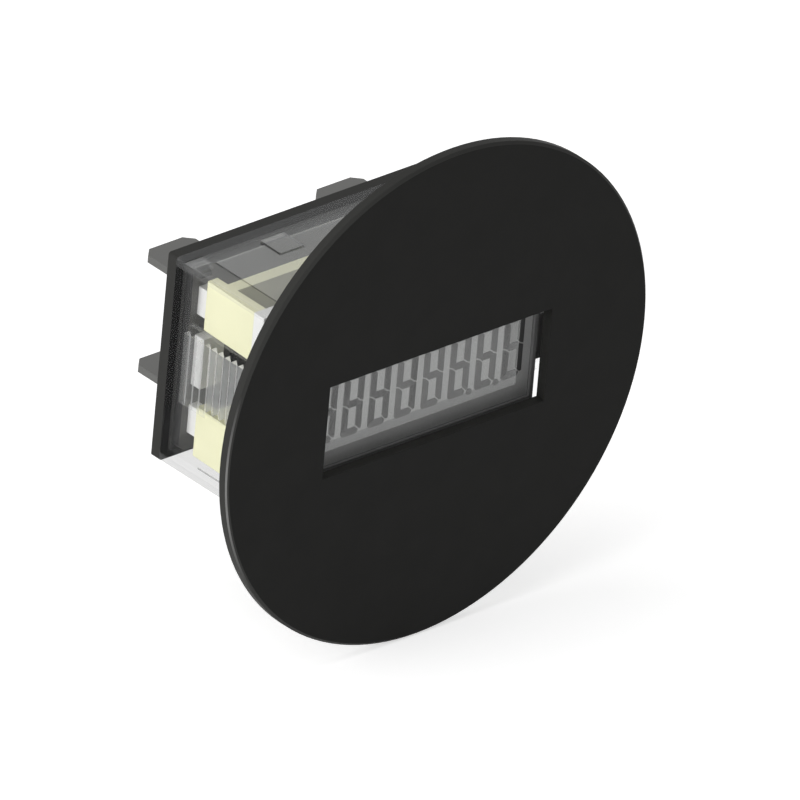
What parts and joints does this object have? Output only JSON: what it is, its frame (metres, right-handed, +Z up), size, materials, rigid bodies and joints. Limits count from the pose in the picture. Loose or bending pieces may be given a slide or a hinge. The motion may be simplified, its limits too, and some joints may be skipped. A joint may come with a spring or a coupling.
{
  "type": "digital totalizer counter",
  "caption": "Panel-mounted LCD totalizer counter: round black bezel with a rectangular window, clear ratchet-sided case, black rear cover and flat spade terminals.",
  "frame": {"origin": "centre of the bezel's rear face, in the plane of the panel's front surface", "axes": "+X to the right seen from the front, +Y from the front to the back, +Z up"},
  "size_m": [0.0559, 0.0299, 0.0558],
  "materials": {
    "black_plastic": "satin moulded",
    "clear_plastic": "clear moulded polycarbonate",
    "board_laminate": "dark grey coated laminate",
    "cream_plastic": "cream moulded",
    "white_plastic": "white moulded",
    "surround_black": "matt black",
    "display_glass": "dark grey display glass",
    "front_glass": "clear, slightly milky",
    "segment_ink": "opaque black",
    "tinned_metal": "tin plated",
    "chip_resin": "black casting resin",
    "steel_can": "plain steel can",
    "capacitor_body": "moulded",
    "resistor_body": "glazed chip",
    "strip_black": "moulded",
    "spring_steel": "spring steel strip",
    "terminal_metal": "dull tin plated, grey"
  },
  "bodies": {
    "root": {"bezel": "black_plastic", "case": "clear_plastic", "rear_cover": "black_plastic", "main_board": "board_laminate", "inner_frame": "cream_plastic", "lcd_holder": "white_plastic", "lcd_frame": "surround_black", "lcd_rear_glass": "display_glass", "lcd_front_glass": "front_glass", "lcd_segments": "segment_ink", "lcd_pins": "tinned_metal", "display_board": "board_laminate", "counting_chip": "chip_resin", "crystal": "steel_can", "supply_capacitor": "capacitor_body", "input_resistors": "resistor_body", "link_strip": "strip_black", "link_pins": "tinned_metal", "battery": "steel_can", "battery_strap": "spring_steel", "isolator_left": "white_plastic", "isolator_right": "white_plastic", "board_spacers": "white_plastic", "terminal_1": "terminal_metal", "terminal_2": "terminal_metal", "terminal_3": "terminal_metal", "terminal_4": "terminal_metal"}
  },
  "joints": []
}
